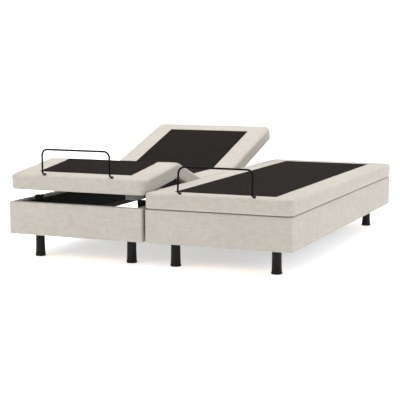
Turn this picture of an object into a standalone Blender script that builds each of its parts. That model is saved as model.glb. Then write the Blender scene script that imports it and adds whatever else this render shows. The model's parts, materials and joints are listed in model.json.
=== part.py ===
"""Adjustable bed base for two sleepers: two upholstered box bases side by side.

Each base carries four padded boards (calf, thigh, seat, head). Two linear drives under the
boards push levers that raise the head board and the thigh board. The calf board hangs on the
thigh board at the knee. The left base stands raised and the right base lies flat.

Metres, +Z up. The origin is on the floor in the middle of the pair. The foot end is at -Y.
"""
import math

import bmesh
import bpy
from mathutils import Matrix, Vector

# ---- the boards and the box, driving dimensions --------------------------------------------
BASE_WIDTH = 0.798          # one base, over its boards
BASE_GAP = 0.004            # between the two bases
CALF_LENGTH = 0.445
THIGH_LENGTH = 0.333
SEAT_LENGTH = 0.472
HEAD_LENGTH = 0.750
BOARD_THICKNESS = 0.080
BOARD_CORNER = 0.040        # plan radius at the foot and head corners
BOARD_TOP_SOFTNESS = 0.014  # rounding of the upper edge
BOARD_LOW_SOFTNESS = 0.007  # rounding of the lower edge
LEG_HEIGHT = 0.132
BOX_HEIGHT = 0.1736
SHADOW_GAP = 0.003          # between the box and the boards
BOX_SETBACK = 0.005         # the boards stand this much proud of the box
WALL_THICKNESS = 0.045
WALL_CORNER = 0.012
SILL_DEPTH = 0.150          # the board across each end that the legs screw to
SILL_THICKNESS = 0.018
TOUCH = 0.0003              # between pieces that rest on each other

# ---- joints --------------------------------------------------------------------------------
PIVOT_DEPTH = 0.012         # hinge pins below the top face of the boards
PIN_RADIUS = 0.005
PIN_CLEARANCE = 0.0006
JOINT_GAP = 0.0015          # from a board's end to its joint line
HEAD_TRAVEL = 60.0          # degrees from flat
THIGH_TRAVEL = 40.0
KNEE_RATIO = 1.343          # knee degrees for each thigh degree
MITRE_SPARE = 1.0           # degrees each board's end is cut back beyond half the travel
LEFT_HEAD_REST = 17.0       # how far the left base stands raised
LEFT_THIGH_REST = 19.4

# ---- legs, rests and the retainer bar ------------------------------------------------------
LEG_INSET_X = 0.124
LEG_INSET_Y = 0.1275
LEG_RADIUS = 0.0245
FOOT_RADIUS = 0.0280
FOOT_HEIGHT = 0.015
REST_INSET_X = 0.090
REST_INSET_Y = 0.180
REST_WIDTH = 0.035
REST_DEPTH = 0.030
BAR_RADIUS = 0.005
BAR_HEIGHT = 0.143          # over the board
BAR_WIDTH = 0.397
LEFT_BAR_OFFSET = 0.198     # first leg, from the base's -X side
RIGHT_BAR_OFFSET = 0.184
BAR_INSET = 0.018           # from the foot edge
BAR_LEAN = 5.0              # degrees, its top towards the head end
BAR_CORNER = 0.032
BAR_FOOT_BEND = 0.012
BAR_FOOT_REACH = 0.020

# ---- frame and drives ----------------------------------------------------------------------
BEAM_DEPTH = 0.040
BEAM_HEIGHT = 0.025
BEAM_WALL = 0.002
FRONT_BEAM_BACK = 0.142     # beam centre behind the thigh joint
REAR_BEAM_FRONT = 0.130     # beam centre in front of the head joint
HEAD_DRIVE_X = -0.055       # from the middle of the base
THIGH_DRIVE_X = 0.116
HEAD_LEVER = 0.125          # roller centre from the head joint
THIGH_LEVER = 0.150
LEVER_PLATE = 0.005
LEVER_SPACE = 0.027         # between a lever's two plates
LEVER_EYE = 0.010           # rounding of a lever's plates about its roller
ROLLER_RADIUS = 0.013
MOUNT_REACH = 0.045         # joint line to the lever's mounting plate
MOUNT_LENGTH = 0.130
MOUNT_THICKNESS = 0.006
MOUNT_LIP = 0.008           # mounting plate beyond the lever's plates
SHOE_GAP = 0.0015           # roller to push shoe
SHOE_THICKNESS = 0.008
SHOE_WIDTH = 0.050
SHOE_HEIGHT = 0.050
ROD_RADIUS = 0.010
ROD_CLEARANCE = 0.0005
ROD_GRIP = 0.025            # rod left inside the tube at full stroke
ROD_BARE = 0.120            # rod in front of the tube with no stroke
ROD_END_SPACE = 0.003
TUBE_RADIUS = 0.017
TUBE_WALL_BEHIND = 0.012
MOTOR_LENGTH = 0.080
MOTOR_LOW = 0.028           # block below the rod's axis
MOTOR_HIGH = 0.036          # block above the rod's axis
HEAD_MOTOR_WIDTH = 0.080
THIGH_MOTOR_WIDTH = 0.070
BRACKET_WIDTH = 0.060
BRACKET_PLATE = 0.005
BRACKET_BITE = 0.001        # weld overlap into a beam's wall
CONTROL_X = 0.235           # control box from the middle of the base
CONTROL_WIDTH = 0.150
CONTROL_DEPTH = 0.090
CONTROL_HEIGHT = 0.040
LINK_LENGTH = 0.120
LINK_WIDTH = 0.040
LINK_THICKNESS = 0.004
LINK_INSET = 0.200          # link plates from the ends

# ---- worked out from the values above ------------------------------------------------------
LENGTH = CALF_LENGTH + THIGH_LENGTH + SEAT_LENGTH + HEAD_LENGTH
FOOT_Y = -LENGTH / 2
KNEE_Y = FOOT_Y + CALF_LENGTH
THIGH_Y = KNEE_Y + THIGH_LENGTH
HEAD_Y = THIGH_Y + SEAT_LENGTH
END_Y = LENGTH / 2
BOX_TOP = LEG_HEIGHT + BOX_HEIGHT
BOARD_LOW = BOX_TOP + SHADOW_GAP
BOARD_TOP = BOARD_LOW + BOARD_THICKNESS
PIVOT_Z = BOARD_TOP - PIVOT_DEPTH
ROUND_SIDES = 32

COLOURS = {
    "upholstery": (0.62, 0.56, 0.50, 1.0, 0.9, 0.0),
    "black_steel": (0.02, 0.02, 0.02, 1.0, 0.45, 0.6),
    "zinc_steel": (0.55, 0.56, 0.58, 1.0, 0.35, 0.9),
    "leg_plastic": (0.018, 0.018, 0.018, 1.0, 0.45, 0.0),
    "motor_plastic": (0.30, 0.31, 0.31, 1.0, 0.5, 0.0),
    "sill_wood": (0.55, 0.40, 0.24, 1.0, 0.7, 0.0),
}


# ---- scene, materials and small helpers ----------------------------------------------------
def clear_scene():
    for item in list(bpy.data.objects):
        bpy.data.objects.remove(item, do_unlink=True)


def make_collection(name):
    collection = bpy.data.collections.new(name)
    bpy.context.scene.collection.children.link(collection)
    return collection


def make_material(name, red, green, blue, alpha, roughness, metallic):
    material = bpy.data.materials.new(name)
    material.use_nodes = True
    shader = material.node_tree.nodes["Principled BSDF"]
    shader.inputs["Base Color"].default_value = (red, green, blue, alpha)
    shader.inputs["Roughness"].default_value = roughness
    shader.inputs["Metallic"].default_value = metallic
    return material


clear_scene()
PARTS = make_collection("adjustable_bed_base")
CUTTERS = make_collection("cutters")
MATERIALS = {name: make_material(name, *values) for name, values in COLOURS.items()}


def new_object(name, data, at, material=None):
    """Link an object to the parts, or to the cutters where it has no material."""
    item = bpy.data.objects.new(name, data)
    item.location = at
    if material is None:
        CUTTERS.objects.link(item)
        item.hide_render = True
        item.display_type = "WIRE"
        return item
    PARTS.objects.link(item)
    data.materials.append(MATERIALS[material])
    return item


def mesh_from(name, bm, smooth=False):
    mesh = bpy.data.meshes.new(name)
    bm.to_mesh(mesh)
    bm.free()
    if smooth:
        mesh.shade_smooth()
        mesh.set_sharp_from_angle(angle=math.radians(35))
    return mesh


def middle(low, high):
    return Vector(((low[0] + high[0]) / 2, (low[1] + high[1]) / 2, (low[2] + high[2]) / 2))


def cube_mesh(low, high):
    """A bmesh box between two corners, centred on its own middle."""
    bm = bmesh.new()
    bmesh.ops.create_cube(bm, size=1.0)
    size = Vector(high) - Vector(low)
    bmesh.ops.scale(bm, vec=size, verts=bm.verts)
    return bm


def box(name, low, high, material=None, bevel=0.0):
    item = new_object(name, mesh_from(name, cube_mesh(low, high)), middle(low, high), material)
    if bevel:
        rounding = item.modifiers.new("edges", "BEVEL")
        rounding.width = bevel
        rounding.segments = 2
    return item


def cylinder(name, centre, radius, length, axis, material=None, sides=ROUND_SIDES):
    bm = bmesh.new()
    bmesh.ops.create_cone(bm, cap_ends=True, segments=sides, radius1=radius, radius2=radius, depth=length)
    turn = {"X": Matrix.Rotation(math.pi / 2, 3, "Y"), "Y": Matrix.Rotation(-math.pi / 2, 3, "X")}
    bmesh.ops.rotate(bm, verts=bm.verts, matrix=turn[axis])
    return new_object(name, mesh_from(name, bm, smooth=True), centre, material)


def carry(tool, piece):
    """Make a cutter or an added shape follow the piece that uses it."""
    tool.parent = piece
    tool.location = tool.location - piece.location


def combine(piece, tool, operation):
    carry(tool, piece)
    step = piece.modifiers.new(tool.name, "BOOLEAN")
    step.operation = operation
    step.solver = "EXACT"
    step.object = tool


def cut(piece, tool):
    combine(piece, tool, "DIFFERENCE")


def add(piece, tool):
    combine(piece, tool, "UNION")


def joint_empty(name, at, raised_degrees=0.0, parent=None):
    """An empty on a joint's axis. Its children are placed as if every board lay flat."""
    empty = bpy.data.objects.new(name, None)
    empty.empty_display_size = 0.05
    PARTS.objects.link(empty)
    empty["flat"] = tuple(at)
    empty.location = at
    empty.rotation_euler.x = math.radians(raised_degrees)
    if parent:
        empty.parent = parent
        empty.location = Vector(at) - Vector(parent["flat"])
    return empty


def attach(piece, empty):
    piece.parent = empty
    piece.location = piece.location - Vector(empty["flat"])


# ---- boards --------------------------------------------------------------------------------
def bevel_edges(bm, edges, offset, segments):
    bmesh.ops.bevel(
        bm, geom=edges, offset=offset, segments=segments, profile=0.5, affect="EDGES", clamp_overlap=True
    )


def mitre(bm, joint_y, outward, upward, degrees):
    """Cut an end back from its joint line, above the hinge pin (upward 1) or below it (-1)."""
    angle = math.radians(degrees)
    normal = Vector((0, outward * math.cos(angle), upward * math.sin(angle)))
    pivot_height = BOARD_THICKNESS / 2 - PIVOT_DEPTH
    point = Vector((0, joint_y - outward * JOINT_GAP, pivot_height))
    faces_and_more = bm.verts[:] + bm.edges[:] + bm.faces[:]
    made = bmesh.ops.bisect_plane(bm, geom=faces_and_more, plane_co=point, plane_no=normal, clear_outer=True)
    rim = [item for item in made["geom_cut"] if isinstance(item, bmesh.types.BMEdge)]
    bmesh.ops.edgeloop_fill(bm, edges=rim)


def board(name, centre_x, low_y, high_y, free_end, joints, material):
    """A padded board. free_end is the Y of its rounded end or None; joints lists (Y, upward, degrees)."""
    low = (centre_x - BASE_WIDTH / 2, low_y, BOARD_LOW)
    high = (centre_x + BASE_WIDTH / 2, high_y, BOARD_TOP)
    centre = middle(low, high)
    bm = cube_mesh(low, high)
    near = 1e-5
    if free_end is not None:
        end = free_end - centre.y
        corners = [
            e for e in bm.edges
            if all(abs(v.co.y - end) < near for v in e.verts) and abs(e.verts[0].co.z - e.verts[1].co.z) > near
        ]
        bevel_edges(bm, corners, BOARD_CORNER, 6)
    joint_ends = [y - centre.y for y, _, _ in joints]
    for side, softness, segments in ((1, BOARD_TOP_SOFTNESS, 3), (-1, BOARD_LOW_SOFTNESS, 2)):
        height = side * BOARD_THICKNESS / 2
        rim = [
            e for e in bm.edges
            if all(abs(v.co.z - height) < near for v in e.verts)
            and not any(all(abs(v.co.y - y) < near for v in e.verts) for y in joint_ends)
        ]
        bevel_edges(bm, rim, softness, segments)
    for joint_y, upward, degrees in joints:
        outward = 1 if joint_y > centre.y else -1
        mitre(bm, joint_y - centre.y, outward, upward, degrees)
        mitre(bm, joint_y - centre.y, outward, 0, 0)
    item = new_object(name, mesh_from(name, bm, smooth=True), centre, material)
    for joint_y, _, _ in joints:
        groove = cylinder(
            f"{name}_groove", (centre_x, joint_y, PIVOT_Z), PIN_RADIUS + PIN_CLEARANCE, BASE_WIDTH * 1.1, "X"
        )
        cut(item, groove)
    return item


def hinge_pin(name, centre_x, joint_y):
    length = BASE_WIDTH - 2 * BOARD_TOP_SOFTNESS
    return cylinder(name, (centre_x, joint_y, PIVOT_Z), PIN_RADIUS, length, "X", "zinc_steel", sides=16)


# ---- box, legs and rests -------------------------------------------------------------------
def wall(name, low, high, rounded_y=None):
    """An upholstered wall. rounded_y is the outer face whose two upright corners are round."""
    bm = cube_mesh(low, high)
    centre = middle(low, high)
    if rounded_y is not None:
        face = rounded_y - centre.y
        corners = [
            e for e in bm.edges
            if all(abs(v.co.y - face) < 1e-5 for v in e.verts) and abs(e.verts[0].co.z - e.verts[1].co.z) > 1e-5
        ]
        bevel_edges(bm, corners, WALL_CORNER, 4)
    return new_object(name, mesh_from(name, bm, smooth=True), centre, "upholstery")


def leg_mesh():
    """Half outline from the top centre down the outer side to the floor, turned about Z."""
    bm = bmesh.new()
    top = LEG_HEIGHT - TOUCH
    outline = (
        (0, top), (LEG_RADIUS, top), (LEG_RADIUS, FOOT_HEIGHT + 0.002), (FOOT_RADIUS, FOOT_HEIGHT),
        (FOOT_RADIUS, 0.0015), (FOOT_RADIUS - 0.0015, 0), (0, 0),
    )
    points = [bm.verts.new((radius, 0, height)) for radius, height in outline]
    for upper, lower in zip(points, points[1:]):
        bm.edges.new((upper, lower))
    return mesh_from("leg", bm)


LEG_MESH = leg_mesh()


def leg(name, x, y):
    item = bpy.data.objects.new(name, LEG_MESH)
    item.location = (x, y, 0)
    PARTS.objects.link(item)
    if not LEG_MESH.materials:
        LEG_MESH.materials.append(MATERIALS["leg_plastic"])
    turned = item.modifiers.new("turned", "SCREW")
    turned.angle = 2 * math.pi
    turned.axis = "Z"
    turned.steps = ROUND_SIDES
    turned.render_steps = ROUND_SIDES
    turned.use_merge_vertices = True
    turned.merge_threshold = 0.0001
    return item


def sill(name, left, right, low_y, high_y):
    """The board across one end of the box that the legs are screwed to."""
    low = (left, low_y, LEG_HEIGHT)
    high = (right, high_y, LEG_HEIGHT + SILL_THICKNESS)
    return box(name, low, high, "sill_wood")


def calf_rest(name, x, y):
    low = (x - REST_WIDTH / 2, y - REST_DEPTH / 2, LEG_HEIGHT + SILL_THICKNESS + TOUCH)
    high = (x + REST_WIDTH / 2, y + REST_DEPTH / 2, BOARD_LOW - TOUCH)
    return box(name, low, high, "black_steel", bevel=0.002)


# ---- retainer bar --------------------------------------------------------------------------
def arc(centre, across, up, radius, start, end, steps=6):
    """Points on an arc in the plane of two unit vectors, angles in degrees."""
    return [
        centre + radius * (across * math.cos(math.radians(a)) + up * math.sin(math.radians(a)))
        for a in (start + (end - start) * i / steps for i in range(steps + 1))
    ]


def retainer_bar(name, first_x):
    """A bent wire: both feet turn towards +X and lie on the board, the loop stands up and leans back."""
    x, up = Vector((1, 0, 0)), Vector((0, 0, 1))
    y = FOOT_Y + BAR_INSET
    first = Vector((first_x, y, 0))
    second = first + BAR_WIDTH * x
    axis_low = BOARD_TOP + BAR_RADIUS + TOUCH
    axis_high = BOARD_TOP + BAR_HEIGHT - BAR_RADIUS

    def at(leg_point, dx, z):
        return Vector((leg_point.x + dx, y, z))

    bend, corner = BAR_FOOT_BEND, BAR_CORNER
    route = [at(first, BAR_FOOT_REACH, axis_low)]
    route += arc(at(first, bend, axis_low + bend), x, up, bend, 270, 180)
    route += arc(at(first, corner, axis_high - corner), x, up, corner, 180, 90)
    route += arc(at(second, -corner, axis_high - corner), x, up, corner, 90, 0)
    route += arc(at(second, bend, axis_low + bend), x, up, bend, 180, 270)
    route.append(at(second, BAR_FOOT_REACH, axis_low))
    centre = (first + second) / 2 + up * axis_low
    lean = Matrix.Rotation(math.radians(-BAR_LEAN), 3, "X")
    wire = bpy.data.curves.new(name, "CURVE")
    wire.dimensions = "3D"
    wire.bevel_depth = BAR_RADIUS
    wire.bevel_resolution = 3
    wire.use_fill_caps = True
    line = wire.splines.new("POLY")
    line.points.add(len(route) - 1)
    for point, place in zip(line.points, route):
        point.co = (*(lean @ (place - centre)), 1)
    return new_object(name, wire, centre, "black_steel")


# ---- frame and drives ----------------------------------------------------------------------
def beam(name, left, right, y):
    """A rectangular steel tube across the box, under the seat board."""
    top = BOARD_LOW - TOUCH
    low = Vector((left, y - BEAM_DEPTH / 2, top - BEAM_HEIGHT))
    high = Vector((right, y + BEAM_DEPTH / 2, top))
    item = box(name, low, high, "black_steel")
    skin = Vector((-0.01, BEAM_WALL, BEAM_WALL))
    cut(item, box(f"{name}_bore", low + skin, high - skin))
    return item


def lever(name, x, joint_y, toward, reach, flat_degrees):
    """Two plates and a roller under a moving board. toward is the side of its joint it lies on."""
    angle = math.radians(flat_degrees)
    roller = Vector((x, joint_y - toward * reach * math.sin(angle), PIVOT_Z - reach * math.cos(angle)))
    near_y = joint_y + toward * MOUNT_REACH
    far_y = near_y + toward * MOUNT_LENGTH
    top = BOARD_LOW - TOUCH
    half = LEVER_SPACE / 2 + LEVER_PLATE + MOUNT_LIP
    low = (x - half, min(near_y, far_y), top - MOUNT_THICKNESS)
    high = (x + half, max(near_y, far_y), top)
    item = box(name, low, high, "black_steel")
    weld = top - MOUNT_THICKNESS / 2
    turns = [math.radians(degrees) for degrees in range(110, 291, 30)]
    eye = [(roller.y + toward * LEVER_EYE * math.cos(a), roller.z + LEVER_EYE * math.sin(a)) for a in turns]
    inset = toward * MOUNT_LIP / 2
    outline = [(near_y + inset, weld), *eye, (far_y - inset, weld)]
    for side in (-1, 1):
        plate_x = x + side * (LEVER_SPACE + LEVER_PLATE) / 2
        add(item, flat_plate(f"{name}_plate", outline, plate_x, LEVER_PLATE))
    add(item, cylinder(f"{name}_roller", roller, ROLLER_RADIUS, LEVER_SPACE + LEVER_PLATE, "X"))
    return item, roller.y


def flat_plate(name, outline, x, thickness):
    """A plate upright in the YZ plane, from its outline of (Y, Z) points."""
    curve = bpy.data.curves.new(name, "CURVE")
    curve.dimensions = "2D"
    curve.fill_mode = "BOTH"
    curve.extrude = thickness / 2
    line = curve.splines.new("POLY")
    line.points.add(len(outline) - 1)
    line.use_cyclic_u = True
    centre = Vector((x, outline[0][0], outline[0][1]))
    for point, (y, z) in zip(line.points, outline):
        point.co = (y - centre.y, z - centre.z, 0, 1)
    outline_object = bpy.data.objects.new(name, curve)
    bpy.context.scene.collection.objects.link(outline_object)
    shape = outline_object.evaluated_get(bpy.context.evaluated_depsgraph_get())
    mesh = bpy.data.meshes.new_from_object(shape)
    bpy.data.objects.remove(outline_object)
    bm = bmesh.new()
    bm.from_mesh(mesh)
    bmesh.ops.remove_doubles(bm, verts=bm.verts, dist=0.00001)
    upright = Matrix(((0, 0, 1), (1, 0, 0), (0, 1, 0)))
    bmesh.ops.rotate(bm, verts=bm.verts, matrix=upright)
    bmesh.ops.recalc_face_normals(bm, faces=bm.faces)
    bm.to_mesh(mesh)
    bm.free()
    return new_object(name, mesh, centre)


def stroke(reach, travel):
    """Rod travel for the whole swing, the chord between the lever's two ends."""
    return 2 * reach * math.sin(math.radians(travel / 2))


def drive_height(reach, travel):
    """The rod's axis, halfway between the highest and the lowest place of the roller."""
    return PIVOT_Z - reach * (1 + math.cos(math.radians(travel / 2))) / 2


def drive(name, x, z, roller_y, toward, motor_width, travel, push):
    """A linear drive beside a roller: the fixed motor with its tube, and the rod with its shoe.

    toward is the side the rod pushes to, travel its whole stroke and push its stroke at rest.
    """
    face = roller_y - toward * (ROLLER_RADIUS + SHOE_GAP)
    shoe_back = face - toward * SHOE_THICKNESS
    tube_front = shoe_back - toward * ROD_BARE
    rod_back = tube_front - toward * (travel + ROD_GRIP)
    motor_front = rod_back - toward * TUBE_WALL_BEHIND
    motor_back = motor_front - toward * MOTOR_LENGTH

    low = (x - motor_width / 2, min(motor_front, motor_back), z - MOTOR_LOW)
    high = (x + motor_width / 2, max(motor_front, motor_back), z + MOTOR_HIGH)
    motor = box(f"{name}_motor", low, high, "motor_plastic")
    tube_end = motor_front - toward * TUBE_WALL_BEHIND
    tube_centre = (x, (tube_front + tube_end) / 2, z)
    add(motor, cylinder(f"{name}_tube", tube_centre, TUBE_RADIUS, abs(tube_front - tube_end), "Y"))
    bore_front = tube_front + toward * ROD_GRIP
    bore_back = rod_back - toward * ROD_END_SPACE
    bore_centre = (x, (bore_front + bore_back) / 2, z)
    bore_radius = ROD_RADIUS + ROD_CLEARANCE
    cut(motor, cylinder(f"{name}_bore", bore_centre, bore_radius, abs(bore_front - bore_back), "Y"))

    rod_front = shoe_back + toward * SHOE_THICKNESS / 2
    rod_centre = (x, (rod_back + rod_front) / 2, z)
    rod = cylinder(f"{name}_rod", rod_centre, ROD_RADIUS, abs(rod_back - rod_front), "Y", "zinc_steel")
    shoe_low = (x - SHOE_WIDTH / 2, min(face, shoe_back), z - SHOE_HEIGHT / 2)
    shoe_high = (x + SHOE_WIDTH / 2, max(face, shoe_back), z + SHOE_HEIGHT / 2)
    add(rod, box(f"{name}_shoe", shoe_low, shoe_high))
    rod.location.y += toward * push
    return motor_back


def bracket(steel_beam, x, beam_y, toward, motor_back, motor_top):
    """A welded angle that hangs a motor from a beam. toward is the side the motor lies on."""
    face = beam_y + toward * BEAM_DEPTH / 2
    bite = face - toward * BRACKET_BITE
    front = face + toward * BRACKET_PLATE
    plate_low = motor_top + TOUCH
    left, right = x - BRACKET_WIDTH / 2, x + BRACKET_WIDTH / 2
    upright_low = (left, min(bite, front), plate_low)
    upright_high = (right, max(bite, front), BOARD_LOW - TOUCH - BRACKET_BITE)
    add(steel_beam, box("bracket_upright", upright_low, upright_high))
    inner = front - toward * BRACKET_BITE
    side = BRACKET_WIDTH / 2 - BRACKET_BITE
    plate_low_corner = (x - side, min(inner, motor_back), plate_low)
    plate_high_corner = (x + side, max(inner, motor_back), plate_low + BRACKET_PLATE)
    add(steel_beam, box("bracket_plate", plate_low_corner, plate_high_corner))


def control_box(name, x, y):
    """The drives' control box, screwed under the seat board between the two beams."""
    top = BOARD_LOW - TOUCH
    low = (x - CONTROL_WIDTH / 2, y - CONTROL_DEPTH / 2, top - CONTROL_HEIGHT)
    high = (x + CONTROL_WIDTH / 2, y + CONTROL_DEPTH / 2, top)
    box(name, low, high, "motor_plastic", bevel=0.004)


# ---- one base ------------------------------------------------------------------------------
def box_walls(side, left, right, low_x_name, high_x_name):
    """Four upholstered walls, the two sills inside them and the legs under the sills."""
    foot, head = FOOT_Y + BOX_SETBACK, END_Y - BOX_SETBACK
    wall_left, wall_right = left + BOX_SETBACK, right - BOX_SETBACK
    inner_left, inner_right = wall_left + WALL_THICKNESS, wall_right - WALL_THICKNESS
    inner_foot, inner_head = foot + WALL_THICKNESS, head - WALL_THICKNESS
    wall(f"{side}_foot_wall", (wall_left, foot, LEG_HEIGHT), (wall_right, inner_foot, BOX_TOP), foot)
    wall(f"{side}_head_wall", (wall_left, inner_head, LEG_HEIGHT), (wall_right, head, BOX_TOP), head)
    low_y, high_y = inner_foot + TOUCH, inner_head - TOUCH
    wall(f"{side}_{low_x_name}_wall", (wall_left, low_y, LEG_HEIGHT), (inner_left, high_y, BOX_TOP))
    wall(f"{side}_{high_x_name}_wall", (inner_right, low_y, LEG_HEIGHT), (wall_right, high_y, BOX_TOP))
    sill_left, sill_right = inner_left + TOUCH, inner_right - TOUCH
    sill(f"{side}_foot_sill", sill_left, sill_right, low_y, low_y + SILL_DEPTH)
    sill(f"{side}_head_sill", sill_left, sill_right, high_y - SILL_DEPTH, high_y)
    columns = ((low_x_name, left + LEG_INSET_X), (high_x_name, right - LEG_INSET_X))
    rows = (("foot", FOOT_Y + LEG_INSET_Y), ("head", END_Y - LEG_INSET_Y))
    for row_name, y in rows:
        for column_name, x in columns:
            leg(f"{side}_leg_{row_name}_{column_name}", x, y)
    calf_rest(f"{side}_calf_rest_{low_x_name}", left + REST_INSET_X, FOOT_Y + REST_INSET_Y)
    calf_rest(f"{side}_calf_rest_{high_x_name}", right - REST_INSET_X, FOOT_Y + REST_INSET_Y)
    return sill_left, sill_right


def build_base(side, centre_x, low_x_name, high_x_name, head_rest, thigh_rest, bar_offset):
    left, right = centre_x - BASE_WIDTH / 2, centre_x + BASE_WIDTH / 2
    beam_left, beam_right = box_walls(side, left, right, low_x_name, high_x_name)

    head_joint = joint_empty(f"{side}_head_joint", (centre_x, HEAD_Y, PIVOT_Z), head_rest)
    thigh_joint = joint_empty(f"{side}_thigh_joint", (centre_x, THIGH_Y, PIVOT_Z), -thigh_rest)
    knee_rest = thigh_rest * KNEE_RATIO
    knee_joint = joint_empty(f"{side}_knee_joint", (centre_x, KNEE_Y, PIVOT_Z), knee_rest, thigh_joint)

    head_mitre = HEAD_TRAVEL / 2 + MITRE_SPARE
    thigh_mitre = THIGH_TRAVEL / 2 + MITRE_SPARE
    knee_mitre = THIGH_TRAVEL * KNEE_RATIO / 2 + MITRE_SPARE
    knee_end = (KNEE_Y, -1, knee_mitre)
    thigh_end = (THIGH_Y, 1, thigh_mitre)
    head_end = (HEAD_Y, 1, head_mitre)
    calf = board(f"{side}_calf_board", centre_x, FOOT_Y, KNEE_Y, FOOT_Y, [knee_end], "upholstery")
    thigh = board(f"{side}_thigh_board", centre_x, KNEE_Y, THIGH_Y, None, [knee_end, thigh_end], "upholstery")
    board(f"{side}_seat_board", centre_x, THIGH_Y, HEAD_Y, None, [thigh_end, head_end], "upholstery")
    head = board(f"{side}_head_board", centre_x, HEAD_Y, END_Y, END_Y, [head_end], "upholstery")
    attach(calf, knee_joint)
    attach(thigh, thigh_joint)
    attach(head, head_joint)
    hinge_pin(f"{side}_head_pin", centre_x, HEAD_Y)
    hinge_pin(f"{side}_thigh_pin", centre_x, THIGH_Y)
    attach(hinge_pin(f"{side}_knee_pin", centre_x, KNEE_Y), thigh_joint)
    attach(retainer_bar(f"{side}_retainer_bar", left + bar_offset), knee_joint)

    head_x, thigh_x = centre_x + HEAD_DRIVE_X, centre_x + THIGH_DRIVE_X
    head_swing, thigh_swing = HEAD_TRAVEL / 2, THIGH_TRAVEL / 2
    head_lever, head_roller = lever(f"{side}_head_lever", head_x, HEAD_Y, 1, HEAD_LEVER, head_swing)
    attach(head_lever, head_joint)
    thigh_lever, thigh_roller = lever(f"{side}_thigh_lever", thigh_x, THIGH_Y, -1, THIGH_LEVER, thigh_swing)
    attach(thigh_lever, thigh_joint)

    head_stroke = stroke(HEAD_LEVER, HEAD_TRAVEL)
    thigh_stroke = stroke(THIGH_LEVER, THIGH_TRAVEL)
    head_z = drive_height(HEAD_LEVER, HEAD_TRAVEL)
    thigh_z = drive_height(THIGH_LEVER, THIGH_TRAVEL)
    head_back = drive(
        f"{side}_head", head_x, head_z, head_roller, 1, HEAD_MOTOR_WIDTH,
        head_stroke, head_stroke * head_rest / HEAD_TRAVEL,
    )
    thigh_back = drive(
        f"{side}_thigh", thigh_x, thigh_z, thigh_roller, -1, THIGH_MOTOR_WIDTH,
        thigh_stroke, thigh_stroke * thigh_rest / THIGH_TRAVEL,
    )
    front_y, rear_y = THIGH_Y + FRONT_BEAM_BACK, HEAD_Y - REAR_BEAM_FRONT
    front_beam = beam(f"{side}_front_beam", beam_left, beam_right, front_y)
    bracket(front_beam, head_x, front_y, -1, head_back, head_z + MOTOR_HIGH)
    rear_beam = beam(f"{side}_rear_beam", beam_left, beam_right, rear_y)
    bracket(rear_beam, thigh_x, rear_y, 1, thigh_back, thigh_z + MOTOR_HIGH)
    control_box(f"{side}_control_box", centre_x + CONTROL_X, (front_y + rear_y) / 2)


def link_plate(name, y):
    """A flat strap under the two inner walls that ties the bases together."""
    top = LEG_HEIGHT - TOUCH
    low = (-LINK_LENGTH / 2, y - LINK_WIDTH / 2, top - LINK_THICKNESS)
    high = (LINK_LENGTH / 2, y + LINK_WIDTH / 2, top)
    box(name, low, high, "zinc_steel")


OFFSET_X = (BASE_WIDTH + BASE_GAP) / 2
build_base("left", -OFFSET_X, "outer", "inner", LEFT_HEAD_REST, LEFT_THIGH_REST, LEFT_BAR_OFFSET)
build_base("right", OFFSET_X, "inner", "outer", 0.0, 0.0, RIGHT_BAR_OFFSET)
link_plate("link_plate_foot", FOOT_Y + LINK_INSET)
link_plate("link_plate_head", END_Y - LINK_INSET)
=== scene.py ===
# %% [markdown]
# # An adjustable bed base for two sleepers
#
# Two upholstered bases stand side by side. Each one is a low box on four round legs, and on the
# box lie padded boards that hinge at the head, the thigh and the knee. The left base stands
# raised and the right base lies flat. This notebook dresses the finished mechanical frame of the
# bed: covers, legs, retainer bars, drives, light and camera.
#
# The first cell loads the frame. Every length is in metres, Z is up, and the foot end is at -Y.

# %% Load the frame
import json
import math

import bmesh
import bpy
import numpy as np
from mathutils import Matrix, Vector, noise


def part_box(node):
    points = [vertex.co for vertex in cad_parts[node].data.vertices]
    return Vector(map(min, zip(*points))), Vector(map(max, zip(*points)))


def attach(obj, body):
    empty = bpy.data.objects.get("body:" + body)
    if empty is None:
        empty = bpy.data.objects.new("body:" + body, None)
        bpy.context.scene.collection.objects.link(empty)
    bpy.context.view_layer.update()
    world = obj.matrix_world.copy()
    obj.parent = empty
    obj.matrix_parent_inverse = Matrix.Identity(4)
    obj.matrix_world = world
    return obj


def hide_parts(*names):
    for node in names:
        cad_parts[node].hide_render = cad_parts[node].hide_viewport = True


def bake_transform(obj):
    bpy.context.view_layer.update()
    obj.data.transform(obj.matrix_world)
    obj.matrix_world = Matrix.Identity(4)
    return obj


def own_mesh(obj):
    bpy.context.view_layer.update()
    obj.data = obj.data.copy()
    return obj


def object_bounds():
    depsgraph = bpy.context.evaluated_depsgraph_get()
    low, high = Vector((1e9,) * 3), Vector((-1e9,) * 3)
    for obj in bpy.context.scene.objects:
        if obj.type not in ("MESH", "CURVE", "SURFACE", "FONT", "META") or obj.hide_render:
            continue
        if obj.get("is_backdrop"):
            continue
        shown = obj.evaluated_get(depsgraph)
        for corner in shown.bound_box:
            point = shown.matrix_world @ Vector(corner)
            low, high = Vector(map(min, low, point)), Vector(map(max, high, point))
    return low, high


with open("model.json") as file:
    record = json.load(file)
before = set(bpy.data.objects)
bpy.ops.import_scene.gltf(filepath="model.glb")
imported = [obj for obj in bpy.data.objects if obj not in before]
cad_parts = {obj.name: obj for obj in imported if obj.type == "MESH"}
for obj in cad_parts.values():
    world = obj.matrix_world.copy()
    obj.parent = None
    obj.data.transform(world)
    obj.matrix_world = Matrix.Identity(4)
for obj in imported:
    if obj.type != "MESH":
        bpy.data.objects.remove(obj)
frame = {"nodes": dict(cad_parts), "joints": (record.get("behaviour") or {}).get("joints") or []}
cad_low, cad_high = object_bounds()
scene = bpy.context.scene
SIDES = ("left", "right")
print("frame size", [round(v, 3) for v in cad_high - cad_low])

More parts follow.
